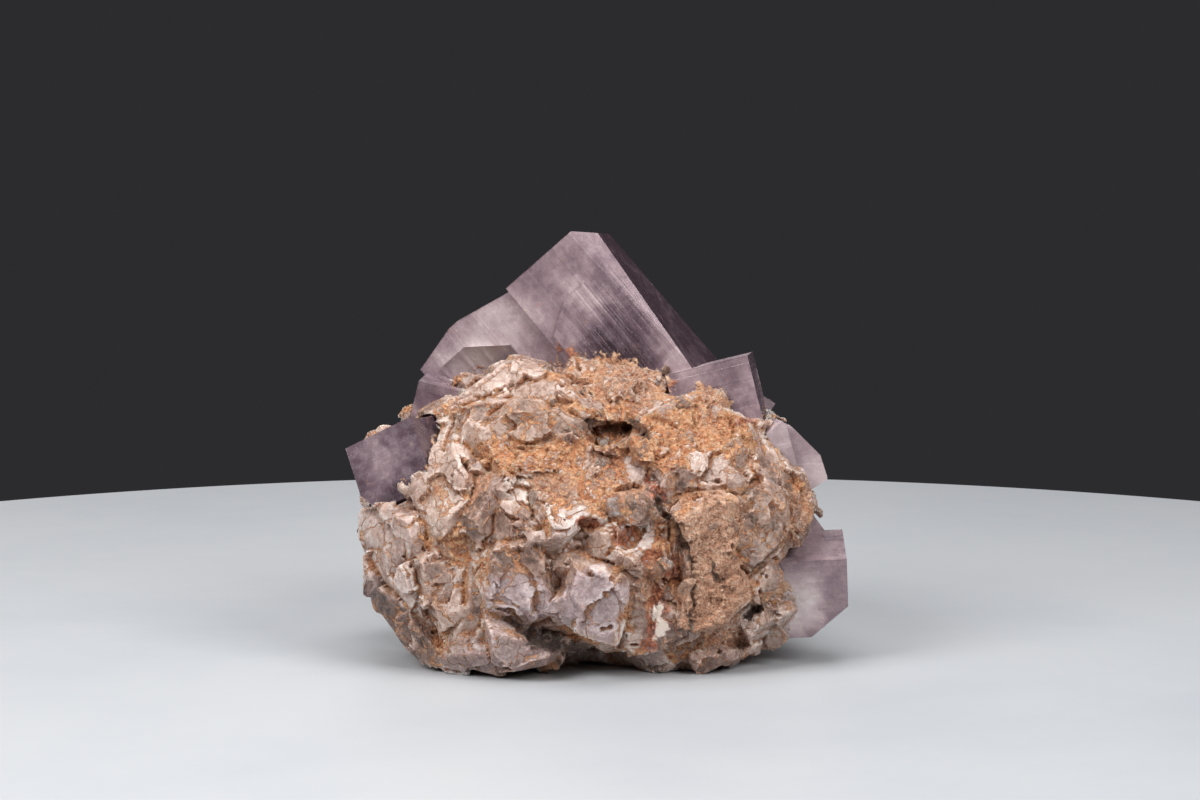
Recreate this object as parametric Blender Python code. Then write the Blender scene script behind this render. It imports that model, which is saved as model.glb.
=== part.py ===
"""Fluorite cluster: purple cubes grown together on a lump of broken, iron-stained fluorite and quartz.

The front is the broken side of the lump, with the crystals standing above it and at its two sides, and the
back carries more cubes. It rests on its flat underside. All sizes are in millimetres, and MM turns them into
Blender's metres. X runs to the right as seen from the front, Y away, and Z up.
"""

import math
import random
from collections import namedtuple

import bmesh
import bpy
from mathutils import Euler, Matrix, Vector

MM = 0.001

# Driving dimensions of the rock: a rounded form, to which every broken piece is fitted
ROCK_CENTRE = Vector((-1.5, -1.0, 18.0))
ROCK_LOW_HALF = Vector((31.5, 20.0, 24.0))  # its reach from the centre to the left, front and underside
ROCK_HIGH_HALF = Vector((30.0, 18.0, 21.5))  # and to the right, back and top
ROCK_BULGE = 2.4  # 2 is an ellipsoid, and more is boxier
ROCK_LEAN = 0.30  # how far the upper rock leans back, for each millimetre above where it starts to
LEAN_START = 22.0
RIM_SHARE = 0.95  # how near its edge the rounded form is still read as a front

SEAT_GAP = 0.3  # room left in the rock round every crystal that is rooted in it
GROUND_REACH = 100.0  # side of the block that trims the underside level

SLIVER = 0.004  # corners of the rock nearer to each other than this are made one

# Shape of the broken pieces
SHARD_DEPTH = 9.0
SHARD_EDGE = 0.7  # width of the broken edge round a shard's face
MOST_LEAN = 1.1  # steepest that a shard's face follows the rock
SHARD_CHIPS = 6
LUMP_CHIPS = 9
CHIP_NEAR = 0.62
CHIP_FAR = 0.98

# A broken piece as the front shows it: how far its face stands out of the rock, the outline of that face in X
# and Z, and the seed of its chipped rim
Shard = namedtuple("Shard", "name proud outline seed")

# A chipped block inside the rock, or one that hollows it: its middle, its width, depth and height, how it is
# turned about Y, Z and X in degrees, and the seed of its chipped faces
Lump = namedtuple("Lump", "name middle size turn seed")

# A cube or slab of fluorite: one corner or middle, the directions of its local X and Y, and where it begins
# and ends along its local X, Y and Z. Each chop is a plane: a local point, and the local way that is cut off
Block = namedtuple("Block", "name at along back low high chops")

SHARDS = (
    Shard("white_chip", 2.2, ((-17.5, 36.5), (-17, 38.5), (-14, 40), (-10.5, 41.5), (-7.5, 40.2), (-6, 38),
                              (-7, 36.2), (-14.5, 36)), 3),
    Shard("olive_lump", 2.0, ((-20, 33.5), (-18.5, 36), (-13.5, 36.6), (-6.5, 36.2), (-4, 34), (-5.5, 31.5),
                              (-13.5, 30.5), (-18.5, 31)), 11),
    Shard("ochre_ledge", 1.2, ((-16, 31.5), (-3, 32.5), (-2, 29.5), (-5.5, 27), (-13.5, 27.5), (-16.5, 29.5)), 5),
    Shard("ochre_slope", 1.4, ((5.5, 34.5), (12, 37), (19, 34.5), (21.5, 31), (19, 29), (12, 29.5), (8, 26.5),
                               (4.5, 29)), 7),
    Shard("crown_crust", 1.6, ((-6, 37.5), (-4, 41.5), (1, 40.5), (6.5, 41), (12, 39.5), (11, 36.5), (5, 36)), 8),
    Shard("cavity_roof", 1.2, ((-4.5, 37.5), (1.5, 39.5), (6.5, 38.5), (5.5, 36), (0, 35.4), (-3.5, 35)), 9),
    Shard("grey_chunk", 2.0, ((10.5, 27), (12, 29.5), (15.5, 30), (18, 29.5), (19.5, 27.5), (18, 25),
                              (13.5, 25.5)), 21),
    Shard("grey_wedge", 1.5, ((5.5, 26), (7.5, 28), (9.5, 26.5), (9, 25), (6.5, 24.5)), 22),
    Shard("pink_band", 1.2, ((-10, 27), (-5.5, 28.5), (1.5, 27.5), (5.5, 25), (5, 22), (-1.5, 21), (-8, 23)), 13),
    Shard("white_chip_low", 2.0, ((-14.5, 27), (-10.5, 27.5), (-11, 24.5), (-13.5, 24)), 14),
    Shard("rose_lump", 2.8, ((-7.5, 24), (-5, 24.5), (-2.5, 23), (-2.5, 21), (-4, 19), (-5.5, 17.5),
                             (-7, 19)), 15),
    Shard("rose_brown_lump", 1.4, ((-18.5, 23), (-17, 25), (-14.5, 24.5), (-14, 22.5), (-15, 20),
                                   (-18, 20.5)), 16),
    Shard("smoky_lump", 1.6, ((-13.5, 23.5), (-9.5, 23.5), (-9.5, 20), (-10.5, 19), (-14, 18.5), (-15, 20.5)), 17),
    Shard("grey_block", 2.9, ((-15.5, 16), (-14, 18.5), (-10.5, 19.5), (-8, 18), (-7, 14.5), (-5.8, 11), (-6, 9),
                              (-7, 8), (-10.5, 8), (-15, 10)), 18),
    Shard("lavender_lump", 4.6, ((-6, 10), (-3, 16), (0.5, 16.5), (3.5, 14), (3, 8), (2, 5), (-6, 8.5)), 19),
    Shard("blue_grey_slab", 4.4, ((-15, 9), (-9.5, 5.8), (-5, 4.4), (-6, 1.7), (-9, 1.7), (-13.5, 0.6),
                                  (-15, 4.5)), 20),
    Shard("green_grey_chip", 3.6, ((-22, 3), (-17, 5.5), (-13.5, 3.5), (-13.5, 0.8), (-15, -1), (-20, -1)), 23),
    Shard("pale_streak", 2.2, ((-24.5, 14), (-23, 14.5), (-21, 11), (-19.5, 7), (-20, 5.5), (-22, 7),
                               (-24, 10.5)), 24),
    Shard("beige_lump", 1.2, ((-2, 21), (1.5, 22), (5, 20), (4.5, 17.5), (0.5, 17), (-2, 18)), 25),
    Shard("glassy_chip", 2.4, ((1, 16.5), (3, 18), (6, 17), (6.5, 15.5), (5.5, 14), (3.5, 14)), 26),
    Shard("left_mass", 1.4, ((-31, 23), (-32.5, 21), (-32.5, 17), (-28, 15), (-24, 17), (-24, 21),
                             (-27.5, 23.5)), 27),
    Shard("left_mass_low", 1.8, ((-32, 16.5), (-31.5, 10.5), (-28.5, 7), (-25, 9), (-24, 14), (-27, 16)), 42),
    Shard("left_inner", 1.0, ((-24, 17.5), (-21, 18.5), (-19.5, 14), (-21, 9.5), (-23.6, 9), (-24.5, 13)), 43),
    Shard("left_brown", 1.6, ((-32, 11.5), (-31.2, 9), (-28.5, 6), (-24.5, 0.5), (-22, -1), (-20.5, 2),
                              (-23.5, 6), (-27.5, 10)), 28),
    Shard("left_upper", 1.0, ((-26, 23), (-25.5, 26.5), (-23, 30.5), (-21.4, 31), (-21.6, 26), (-23, 22)), 29),
    Shard("left_upper_inner", 1.4, ((-22, 26), (-20.5, 31), (-18, 30.5), (-18, 23.5), (-21.5, 18.5),
                                    (-22.8, 21.5)), 44),
    Shard("pale_rib", 1.8, ((-20, 32), (-18.5, 31), (-17.5, 26.5), (-18, 23), (-19.5, 21.5), (-20, 25.5)), 30),
    Shard("sandy_block", 2.0, ((9.5, 22.5), (13.5, 25), (18, 24.5), (18, 18.5), (19.5, 14), (20, 10.5),
                               (18.5, 8.5), (15, 6.5), (10.5, 7), (11, 12), (11, 18)), 31),
    Shard("green_glass", 2.2, ((18, 23.5), (21.5, 25.5), (25.5, 25), (25.5, 20.5), (24, 17), (21, 15.5),
                               (18.5, 16)), 32),
    Shard("right_crust", 2.0, ((25.5, 25.5), (28, 25), (28.8, 22), (28.8, 19), (26.5, 16), (24.5, 17),
                               (25, 21.5)), 33),
    Shard("right_shoulder", 1.8, ((19.5, 33.5), (23.5, 34), (25.5, 30), (26.5, 26), (23.5, 24.5), (20, 28)), 34),
    Shard("right_top_crust", 1.8, ((12, 37), (16, 38), (22, 35), (23, 32.5), (18.5, 32), (13, 34)), 35),
    Shard("olive_block", 2.6, ((20, 13), (22, 15), (24.5, 13.5), (24.5, 11.5), (22, 9), (20.5, 9.5)), 36),
    Shard("olive_block_low", 2.4, ((18.8, 6.8), (23, 9), (26.4, 9.6), (27.4, 5), (26, 2.9), (23.4, 2.8),
                                   (20.6, 1.5)), 37),
    Shard("bottom_lump", 2.4, ((11.5, 2.4), (16, 4.2), (20.4, 2.6), (19, 1.4), (16.3, -0.4), (12.8, -0.4)), 38),
    Shard("lower_left_bits", 2.0, ((-20.5, 10.5), (-17.5, 12), (-15, 9.5), (-15, 4.5), (-17.5, 4), (-20, 3)), 39),
    Shard("red_crust", 1.4, ((3.5, 11), (7.5, 12), (11, 9.5), (11, 5), (5.5, 3), (3, 3.6)), 40),
)

# Lumps of the sides, back and underside, which the front view hides
HIDDEN_LUMPS = (
    Lump("back_left_mass", (-18.0, 11.0, 20.0), (19.0, 14.0, 20.0), (8, 30, 6), 41),
    Lump("back_right_mass", (16.0, 10.0, 17.0), (19.0, 14.0, 19.0), (-10, -26, 4), 42),
    Lump("back_foot", (1.0, 9.0, 6.0), (26.0, 17.0, 13.0), (4, 6, 6), 43),
    Lump("back_heart", (-1.0, 11.0, 24.0), (25.0, 14.0, 20.0), (-6, 4, -4), 44),
    Lump("left_flank", (-28.0, 2.0, 18.0), (9.0, 15.0, 13.0), (14, 6, 4), 47),
    Lump("right_flank", (24.5, 3.0, 22.0), (8.0, 13.0, 12.0), (-12, -8, 6), 48),
)

# Small chips scattered over the whole rock
SCATTERED_CHIPS = 120
SCATTER_SEED = 21
SCATTER_SIZES = (4.0, 8.5)
SCATTER_SUNK = 0.93  # how far out of the rock's centre they lie, as a share of its rounded form

PITS = (
    Lump("cavity", (1.2, -14.0, 32.8), (6.6, 9.0, 4.8), (-12, -4, -18), 51),
    Lump("under_ledge", (-2.4, -22.0, 3.0), (8.4, 8.0, 3.6), (20, 0, -6), 53),
    Lump("under_middle", (3.0, -20.0, 0.6), (19.0, 19.0, 5.0), (-2, 0, 6), 52),
    Lump("step_hollow", (5.6, -20.0, 28.6), (5.0, 5.0, 2.2), (26, 6, -10), 54),
    Lump("under_back", (0.0, 22.0, 1.2), (72.0, 24.0, 10.0), (0, 4, 22), 57),
    Lump("under_right", (31.0, -2.0, 0.6), (22.0, 56.0, 10.0), (-22, 0, 4), 58),
    Lump("under_left", (-32.0, 8.0, 0.4), (20.0, 44.0, 10.0), (24, 0, 4), 59),
    Lump("dark_crack", (10.0, -23.0, 16.5), (1.8, 6.0, 15.0), (-4, 8, 0), 55),
    Lump("left_crevice", (-16.6, -22.0, 15.0), (1.9, 6.0, 7.0), (10, 10, 0), 56),
)

CAVITY_CRYSTALS = (
    Lump("cavity_crystal", (0.2, -10.0, 34.2), (3.6, 6.0, 3.6), (40, 18, 20), 61),
)

# Directions of the great cube: its ridge runs down to the right, and its depth runs back
CROWN_TIP = (-2.6, 2.0, 60.4)
RIDGE = (0.633, -0.173, -0.754)
RIDGE_BACK = (0.23, 0.97, -0.03)
SLAB_BACK = (0.34, 0.94, 0.01)

CROWN_BLOCKS = (
    Block("great_cube", CROWN_TIP, RIDGE, RIDGE_BACK, (0.4, 0.0, -14.6), (31.0, 20.0, 1.0),
          (((0.3, 0.0, -2.4), (-0.72, 0.05, 0.69)),
           ((4.0, 0.0, 0.1), (0.07, -0.02, 1.0)),
           ((3.1, 7.1, 0.0), (-0.25, 0.69, 0.68)),
           ((5.7, 0.0, -2.5), (-0.024, -0.914, 0.406)),
           ((0.4, 13.0, -8.0), (-0.7, 0.7, 0.1)))),
    Block("great_cube_terrace", CROWN_TIP, RIDGE, RIDGE_BACK, (7.0, -0.4, -13.6), (28.0, 6.0, -5.4),
          (((7.0, 0.0, -9.0), (-0.8, 0.0, -0.5)),)),
    Block("great_cube_low_terrace", CROWN_TIP, RIDGE, RIDGE_BACK, (13.0, -0.9, -11.6), (27.0, 5.0, -8.2),
          ()),
    Block("left_slab", CROWN_TIP, RIDGE, SLAB_BACK, (-0.9, -1.0, -32.4), (20.0, 15.0, -13.0),
          (((-0.9, 0.0, -23.5), (-0.98, 0.0, 0.21)),
           ((-0.9, 0.0, -25.0), (-0.98, 0.0, -0.21)),
           ((0.0, 9.0, -31.0), (-0.5, 0.75, -0.4)))),
    Block("left_slab_terrace", CROWN_TIP, RIDGE, SLAB_BACK, (2.5, -1.45, -29.6), (18.0, 6.0, -19.5),
          (((2.5, 0.0, -25.0), (-0.8, 0.0, 0.6)),)),
    Block("under_cube", (-21.3, 5.0, 33.6), (0.96, -0.10, -0.25), (0.20, 0.97, 0.05),
          (-4.4, -4.0, -5.0), (5.0, 6.0, 3.6), ()),
    Block("shoulder_cube", (20.1, -5.6, 42.1), (0.965, -0.10, 0.245), (0.07, 0.99, -0.06),
          (-11.6, 0.0, -9.4), (0.0, 11.0, 0.0), ()),
    Block("shoulder_cube_back", (19.8, 9.4, 33.2), (0.80, 0.30, -0.50), (-0.28, 0.95, 0.12),
          (-7.0, -4.0, -5.0), (2.6, 6.0, 3.2), ()),
    Block("back_cube_high", (1.6, 19.0, 36.0), (0.86, 0.30, -0.40), (-0.36, 0.92, -0.10),
          (-8.0, -10.0, -8.0), (8.0, 6.0, 8.0), ()),
    Block("back_cube_left", (-12.6, 15.6, 32.0), (0.72, -0.42, 0.55), (0.50, 0.86, -0.05),
          (-7.0, -7.0, -7.0), (7.0, 7.4, 7.0), ()),
)

BACK_BLOCKS = (
    Block("back_cube_middle", (-1.0, 18.6, 15.6), (0.90, -0.20, 0.38), (0.26, 0.95, -0.12),
          (-6.4, -8.0, -6.4), (6.4, 6.4, 6.4), ()),
    Block("back_cube_low", (-11.4, 17.2, 12.0), (0.76, 0.34, 0.55), (-0.30, 0.93, -0.14),
          (-4.8, -6.0, -4.8), (4.8, 4.8, 4.8), ()),
    Block("back_cube_small", (7.2, 19.6, 11.0), (0.64, 0.20, -0.74), (-0.10, 0.97, 0.18),
          (-3.9, -6.0, -3.9), (3.9, 3.9, 3.9), ()),
)

BACK_RIGHT_BLOCKS = (
    Block("back_right_cube", (18.6, 14.4, 20.4), (0.80, 0.50, 0.33), (-0.56, 0.82, 0.06),
          (-5.8, -8.0, -5.8), (5.8, 5.8, 5.8), ()),
    Block("back_right_cube_small", (20.6, 15.0, 11.0), (0.60, 0.30, -0.74), (-0.30, 0.94, 0.14),
          (-3.6, -6.0, -3.6), (3.6, 3.6, 3.6), ()),
)

BACK_LEFT_BLOCKS = (
    Block("back_left_cube", (-25.0, 11.6, 17.6), (0.70, -0.60, -0.38), (0.62, 0.78, -0.06),
          (-5.2, -7.0, -5.2), (5.2, 5.2, 5.2), ()),
)

LEFT_BLOCKS = (
    Block("left_cube", (-34.7, -8.0, 29.6), (0.835, -0.33, 0.44), (0.44, 0.87, -0.20),
          (0.0, 0.0, -10.0), (11.0, 10.0, 0.0), (((1.8, 0.0, -10.0), (-0.85, -0.2, -0.5)),)),
    Block("left_cube_slab", (-25.8, -8.6, 30.2), (0.90, -0.22, 0.24), (0.30, 0.94, -0.06),
          (-1.6, 0.0, -7.0), (3.0, 7.0, 3.2), ()),
)

# The bladed crystal is a plate whose outline drops to the right in four steps
RIGHT_BLOCKS = (
    Block("right_blade", (22.8, -7.0, 22.0), (0.99, 0.14, 0.0), (-0.14, 0.99, 0.03),
          (0.0, 0.0, 0.0), (8.4, 9.0, 11.0),
          (((1.4, 0.0, 9.2), (-0.6, 0.0, 0.80)), ((3.8, 0.0, 10.0), (0.70, 0.05, 0.71)),
           ((7.1, 0.0, 6.9), (0.82, -0.05, 0.57)), ((7.8, 0.0, 5.2), (0.95, -0.1, 0.32)),
           ((8.4, 0.0, 3.0), (0.5, -0.2, -0.84)))),
    Block("right_peak", (24.4, -7.8, 26.0), (0.96, 0.10, 0.26), (-0.10, 0.99, 0.04),
          (-0.3, 0.0, 0.0), (2.7, 5.0, 8.0),
          (((1.8, 0.0, 6.8), (-0.42, 0.0, 0.90)), ((2.4, 0.0, 6.8), (0.86, 0.1, 0.50)))),
)

LOWER_RIGHT_BLOCKS = (
    Block("corner_cube", (33.4, -12.0, 15.0), (0.995, -0.03, 0.05), (0.26, 0.93, 0.25),
          (-14.0, 0.0, -11.4), (0.0, 10.4, 0.0),
          (((0.0, 0.0, -7.0), (0.65, 0.0, -0.75)), ((-1.0, 0.0, -11.0), (0.35, -0.55, -0.75)))),
    Block("corner_cube_back", (28.2, 1.0, 17.6), (0.78, 0.20, 0.59), (-0.16, 0.98, -0.10),
          (-4.0, -3.4, -3.4), (1.6, 3.6, 2.0), ()),
)

# Colour, roughness and see-through share of each finish
FINISHES = {
    "rock": ((0.46, 0.31, 0.22), 0.85, 0.0),
    "purple": ((0.42, 0.34, 0.46), 0.22, 0.45),
    "pale": ((0.62, 0.56, 0.62), 0.25, 0.45),
}


def clear_scene():
    for obj in list(bpy.data.objects):
        bpy.data.objects.remove(obj, do_unlink=True)


def new_collection(name):
    collection = bpy.data.collections.new(name)
    bpy.context.scene.collection.children.link(collection)
    return collection


def make_finish(name):
    colour, roughness, see_through = FINISHES[name]
    material = bpy.data.materials.new(name)
    material.use_nodes = True
    shader = material.node_tree.nodes["Principled BSDF"]
    shader.inputs["Base Color"].default_value = (*colour, 1.0)
    shader.inputs["Roughness"].default_value = roughness
    shader.inputs["Metallic"].default_value = 0.0
    shader.inputs["Transmission Weight"].default_value = see_through
    return material


def cut_by_plane(bm, point, outward):
    """Cuts off what lies beyond a plane and closes the cut with one flat face."""
    everything = bm.verts[:] + bm.edges[:] + bm.faces[:]
    made = bmesh.ops.bisect_plane(
        bm, geom=everything, plane_co=point, plane_no=outward, dist=1e-6, clear_outer=True
    )
    rim = [item for item in made["geom_cut"] if isinstance(item, bmesh.types.BMEdge)]
    if rim:
        bmesh.ops.contextual_create(bm, geom=rim)


def box_between(bm, low, high):
    """A block between two corners, from the cube primitive."""
    size = Vector(high) - Vector(low)
    middle = (Vector(high) + Vector(low)) / 2
    matrix = Matrix.Translation(middle) @ Matrix.Diagonal((*size, 1.0))
    bmesh.ops.create_cube(bm, size=1.0, matrix=matrix)


def solid_object(name, bm, collection, matrix):
    """Turns a mesh in millimetres into an object in metres, closed and facing out."""
    bm.transform(Matrix.Scale(MM, 4) @ matrix)
    bmesh.ops.recalc_face_normals(bm, faces=bm.faces)
    mesh = bpy.data.meshes.new(name)
    bm.to_mesh(mesh)
    bm.free()
    obj = bpy.data.objects.new(name, mesh)
    collection.objects.link(obj)
    return obj


def as_helper(obj):
    """A helper only cuts or joins other objects, and is no piece of the specimen."""
    obj.hide_render = True
    obj.display_type = "WIRE"
    return obj


def form_half(way):
    """The rounded form's half sizes on the side that a direction from its centre points to."""
    return [high if w > 0 else low for low, high, w in zip(ROCK_LOW_HALF, ROCK_HIGH_HALF, way)]


def lean_at(height):
    return ROCK_LEAN * max(0.0, height - LEAN_START)


def rock_surface(way):
    """The point of the rock's rounded form that lies in a direction from its centre."""
    total = sum(abs(w / h) ** ROCK_BULGE for w, h in zip(way, form_half(way)))
    point = ROCK_CENTRE + Vector(way) * total ** (-1 / ROCK_BULGE)
    point.y += lean_at(point.z)
    return point


def rock_front(across, up):
    """How far back the front of the rounded form lies at a place seen from the front."""
    way = (across - ROCK_CENTRE.x, -1.0, up - ROCK_CENTRE.z)
    half = form_half(way)
    share = abs(way[0] / half[0]) ** ROCK_BULGE + abs(way[2] / half[2]) ** ROCK_BULGE
    reach = (1 - min(share, RIM_SHARE)) ** (1 / ROCK_BULGE)
    return ROCK_CENTRE.y - half[1] * reach + lean_at(up)


def rock_heart(collection):
    """The solid heart that carries every piece: a faceted ball drawn out to the rock's own form."""
    bm = bmesh.new()
    bmesh.ops.create_icosphere(bm, subdivisions=3, radius=1.0)
    for vertex in bm.verts:
        vertex.co = rock_surface(vertex.co)
    return solid_object("matrix", bm, collection, Matrix.Identity(4))


def within_lean(slope):
    return max(-MOST_LEAN, min(MOST_LEAN, slope))


def chip_rim(bm, draw):
    """Breaks a few slanted faces off the front rim of a piece."""
    for _ in range(SHARD_CHIPS):
        around = draw.uniform(0, 2 * math.pi)
        outward = Vector((math.cos(around), -draw.uniform(0.7, 1.9), math.sin(around))).normalized()
        reach = max(vertex.co.dot(outward) for vertex in bm.verts)
        cut_by_plane(bm, outward * (reach - draw.uniform(0.2, 0.9)), outward)


def facing_shard(shard, collection):
    """A broken piece with the outline that the front shows, lying along the rock and standing out of it."""
    across = sum(x for x, _ in shard.outline) / len(shard.outline)
    up = sum(z for _, z in shard.outline) / len(shard.outline)
    lean_x = within_lean((rock_front(across + 1, up) - rock_front(across - 1, up)) / 2)
    lean_z = within_lean((rock_front(across, up + 1) - rock_front(across, up - 1)) / 2)
    bm = bmesh.new()
    corners = []
    for x, z in shard.outline:
        slope = lean_x * (x - across) + lean_z * (z - up)
        corners.append(bm.verts.new((x - across, slope, z - up)))
    face = bm.faces.new(corners)
    made = bmesh.ops.extrude_face_region(bm, geom=[face], use_keep_orig=True)
    back = [item for item in made["geom"] if isinstance(item, bmesh.types.BMVert)]
    bmesh.ops.translate(bm, verts=back, vec=(0, SHARD_DEPTH, 0))
    bmesh.ops.recalc_face_normals(bm, faces=bm.faces)
    bmesh.ops.inset_region(bm, faces=[face], thickness=SHARD_EDGE, depth=SHARD_EDGE, use_even_offset=True)
    chip_rim(bm, random.Random(shard.seed))
    front = rock_front(across, up) - shard.proud + SHARD_EDGE
    return as_helper(solid_object(shard.name, bm, collection, Matrix.Translation((across, front, up))))


def chipped_lump(lump, collection):
    """A block with its corners chipped off by seeded planes, as rock breaks."""
    draw = random.Random(lump.seed)
    half = Vector(lump.size) / 2
    bm = bmesh.new()
    box_between(bm, -half, half)
    for _ in range(LUMP_CHIPS):
        outward = Vector((draw.gauss(0, 1), draw.gauss(0, 1), draw.gauss(0, 1))).normalized()
        reach = Vector(h * n for h, n in zip(half, outward)).length
        cut_by_plane(bm, outward * reach * draw.uniform(CHIP_NEAR, CHIP_FAR), outward)
    roll, yaw, pitch = (math.radians(angle) for angle in lump.turn)
    turned = Euler((pitch, roll, yaw)).to_matrix().to_4x4()
    return as_helper(solid_object(lump.name, bm, collection, Matrix.Translation(lump.middle) @ turned))


def scattered_chips():
    """Small chips all over the rock, placed by the golden angle, so that every side of it is broken."""
    draw = random.Random(SCATTER_SEED)
    golden_angle = math.pi * (3 - math.sqrt(5))
    for index in range(SCATTERED_CHIPS):
        height = 1 - 2 * (index + 0.5) / SCATTERED_CHIPS
        around = index * golden_angle
        ring = math.sqrt(1 - height * height)
        place = rock_surface((ring * math.cos(around), ring * math.sin(around), height))
        middle = ROCK_CENTRE + (place - ROCK_CENTRE) * SCATTER_SUNK
        size = [draw.uniform(*SCATTER_SIZES) for _ in range(3)]
        turn = [draw.uniform(-45, 45) for _ in range(3)]
        yield Lump(f"chip_{index:03d}", middle, size, turn, 100 + index)


def crystal_block(block, collection, grow=0.0):
    """A cube or slab of fluorite, or with grow the seat that the rock needs for it."""
    margin = Vector((grow, grow, grow))
    bm = bmesh.new()
    box_between(bm, Vector(block.low) - margin, Vector(block.high) + margin)
    for point, outward in block.chops:
        direction = Vector(outward).normalized()
        cut_by_plane(bm, Vector(point) + direction * grow, direction)
    along = Vector(block.along).normalized()
    upward = along.cross(Vector(block.back)).normalized()
    back = upward.cross(along)
    turned = Matrix((along, back, upward)).transposed().to_4x4()
    placed = Matrix.Translation(Vector(block.at)) @ turned
    return as_helper(solid_object(block.name, bm, collection, placed))


def level_cutter(collection):
    """The block below the ground, which trims the underside level."""
    bm = bmesh.new()
    side = GROUND_REACH / 2
    box_between(bm, (-side, -side, -side), (side, side, 0.0))
    return as_helper(solid_object("ground", bm, collection, Matrix.Identity(4)))


def combine(obj, collection, operation):
    """Joins all of a collection to obj, or cuts all of it away."""
    modifier = obj.modifiers.new(operation.lower() + "_" + collection.name, "BOOLEAN")
    modifier.operation = operation
    modifier.operand_type = "COLLECTION"
    modifier.collection = collection
    modifier.solver = "EXACT"


def islands_of(bm):
    """The mesh's separate closed bodies, each as a set of its vertices."""
    left = set(bm.verts)
    while left:
        body, edge_of_search = set(), [left.pop()]
        while edge_of_search:
            vertex = edge_of_search.pop()
            body.add(vertex)
            near = {edge.other_vert(vertex) for edge in vertex.link_edges} & left
            left -= near
            edge_of_search.extend(near)
        yield body


def settle(obj):
    """Makes the modifiers' result the object's own mesh, without the crumbs and slivers that cuts leave."""
    graph = bpy.context.evaluated_depsgraph_get()
    mesh = bpy.data.meshes.new_from_object(obj.evaluated_get(graph))
    bm = bmesh.new()
    bm.from_mesh(mesh)
    bodies = sorted(islands_of(bm), key=len)
    for crumb in bodies[:-1]:
        bmesh.ops.delete(bm, geom=list(crumb), context="VERTS")
    bmesh.ops.triangulate(bm, faces=bm.faces)
    bmesh.ops.remove_doubles(bm, verts=bm.verts, dist=SLIVER * MM)
    bmesh.ops.dissolve_degenerate(bm, edges=bm.edges, dist=SLIVER * MM)
    bm.to_mesh(mesh)
    bm.free()
    obj.modifiers.clear()
    obj.data = mesh


def joined_crystals(name, blocks, specimen, finish):
    """One solid from crystals that grew together: the first block with the others joined to it."""
    rest = new_collection(name + "_parts")
    body = crystal_block(blocks[0], specimen)
    body.name = name
    body.hide_render = False
    body.display_type = "TEXTURED"
    for block in blocks[1:]:
        crystal_block(block, rest)
    if len(blocks) > 1:
        combine(body, rest, "UNION")
    body.data.materials.append(finish)


def build_rock(specimen, finish, crystals):
    """The rock: its heart and pieces joined, then pitted, seated for the crystals and trimmed level."""
    pieces = new_collection("rock_pieces")
    for lump in (*HIDDEN_LUMPS, *scattered_chips()):
        chipped_lump(lump, pieces)
    for shard in SHARDS:
        facing_shard(shard, pieces)
    pits = new_collection("rock_pits")
    for pit in PITS:
        chipped_lump(pit, pits)
    inside_pits = new_collection("pit_crystals")
    for lump in CAVITY_CRYSTALS:
        chipped_lump(lump, inside_pits)
    seats = new_collection("crystal_seats")
    for block in crystals:
        crystal_block(block, seats, grow=SEAT_GAP)
    level_cutter(seats)
    rock = rock_heart(specimen)
    combine(rock, pieces, "UNION")
    combine(rock, pits, "DIFFERENCE")
    combine(rock, inside_pits, "UNION")
    combine(rock, seats, "DIFFERENCE")
    rock.data.materials.append(finish)
    settle(rock)


def main():
    clear_scene()
    specimen = new_collection("fluorite_cluster")
    rock = make_finish("rock")
    purple = make_finish("purple")
    pale = make_finish("pale")
    groups = (
        ("crown_crystals", CROWN_BLOCKS, purple),
        ("back_crystals", BACK_BLOCKS, purple),
        ("back_right_crystals", BACK_RIGHT_BLOCKS, purple),
        ("back_left_crystal", BACK_LEFT_BLOCKS, purple),
        ("left_crystal", LEFT_BLOCKS, purple),
        ("right_crystal", RIGHT_BLOCKS, pale),
        ("lower_right_crystal", LOWER_RIGHT_BLOCKS, purple),
    )
    for name, blocks, finish in groups:
        joined_crystals(name, blocks, specimen, finish)
    build_rock(specimen, rock, [block for _, blocks, _ in groups for block in blocks])


main()
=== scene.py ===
"""The looks of the fluorite cluster: iron-stained rock full of glassy chips, cloudy purple cubes, and the table.

Sizes and places are in millimetres, in the model's own directions: X to the right as seen from the front, Y away,
Z up. MM turns them into metres. Colours are red, green and blue from 0 to 255, as a screen shows them.
"""

import math
from collections import namedtuple
from itertools import product

import bmesh
import bpy
import numpy as np
from mathutils import Matrix, Vector, noise
from mathutils.kdtree import KDTree


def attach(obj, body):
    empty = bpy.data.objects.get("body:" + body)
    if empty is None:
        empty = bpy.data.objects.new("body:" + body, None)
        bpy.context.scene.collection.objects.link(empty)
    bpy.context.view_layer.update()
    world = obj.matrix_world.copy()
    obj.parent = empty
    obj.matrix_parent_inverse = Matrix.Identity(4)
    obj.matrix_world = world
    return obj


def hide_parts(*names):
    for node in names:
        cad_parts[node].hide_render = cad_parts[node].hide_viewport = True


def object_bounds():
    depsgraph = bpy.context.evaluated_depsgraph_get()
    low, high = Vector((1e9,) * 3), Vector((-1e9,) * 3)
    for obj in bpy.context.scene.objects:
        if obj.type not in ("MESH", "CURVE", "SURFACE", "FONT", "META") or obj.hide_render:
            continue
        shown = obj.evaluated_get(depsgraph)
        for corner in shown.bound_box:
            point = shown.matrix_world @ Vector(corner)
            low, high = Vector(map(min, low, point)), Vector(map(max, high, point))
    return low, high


MM = 0.001

# The camera stands in front, a little above the specimen
CAMERA_PLACE = (0.0, -413.0, 81.3)
CAMERA_PITCH = 6.35  # degrees below level
CAMERA_LENS = 90.0
CAMERA_SENSOR = 36.0

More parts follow.
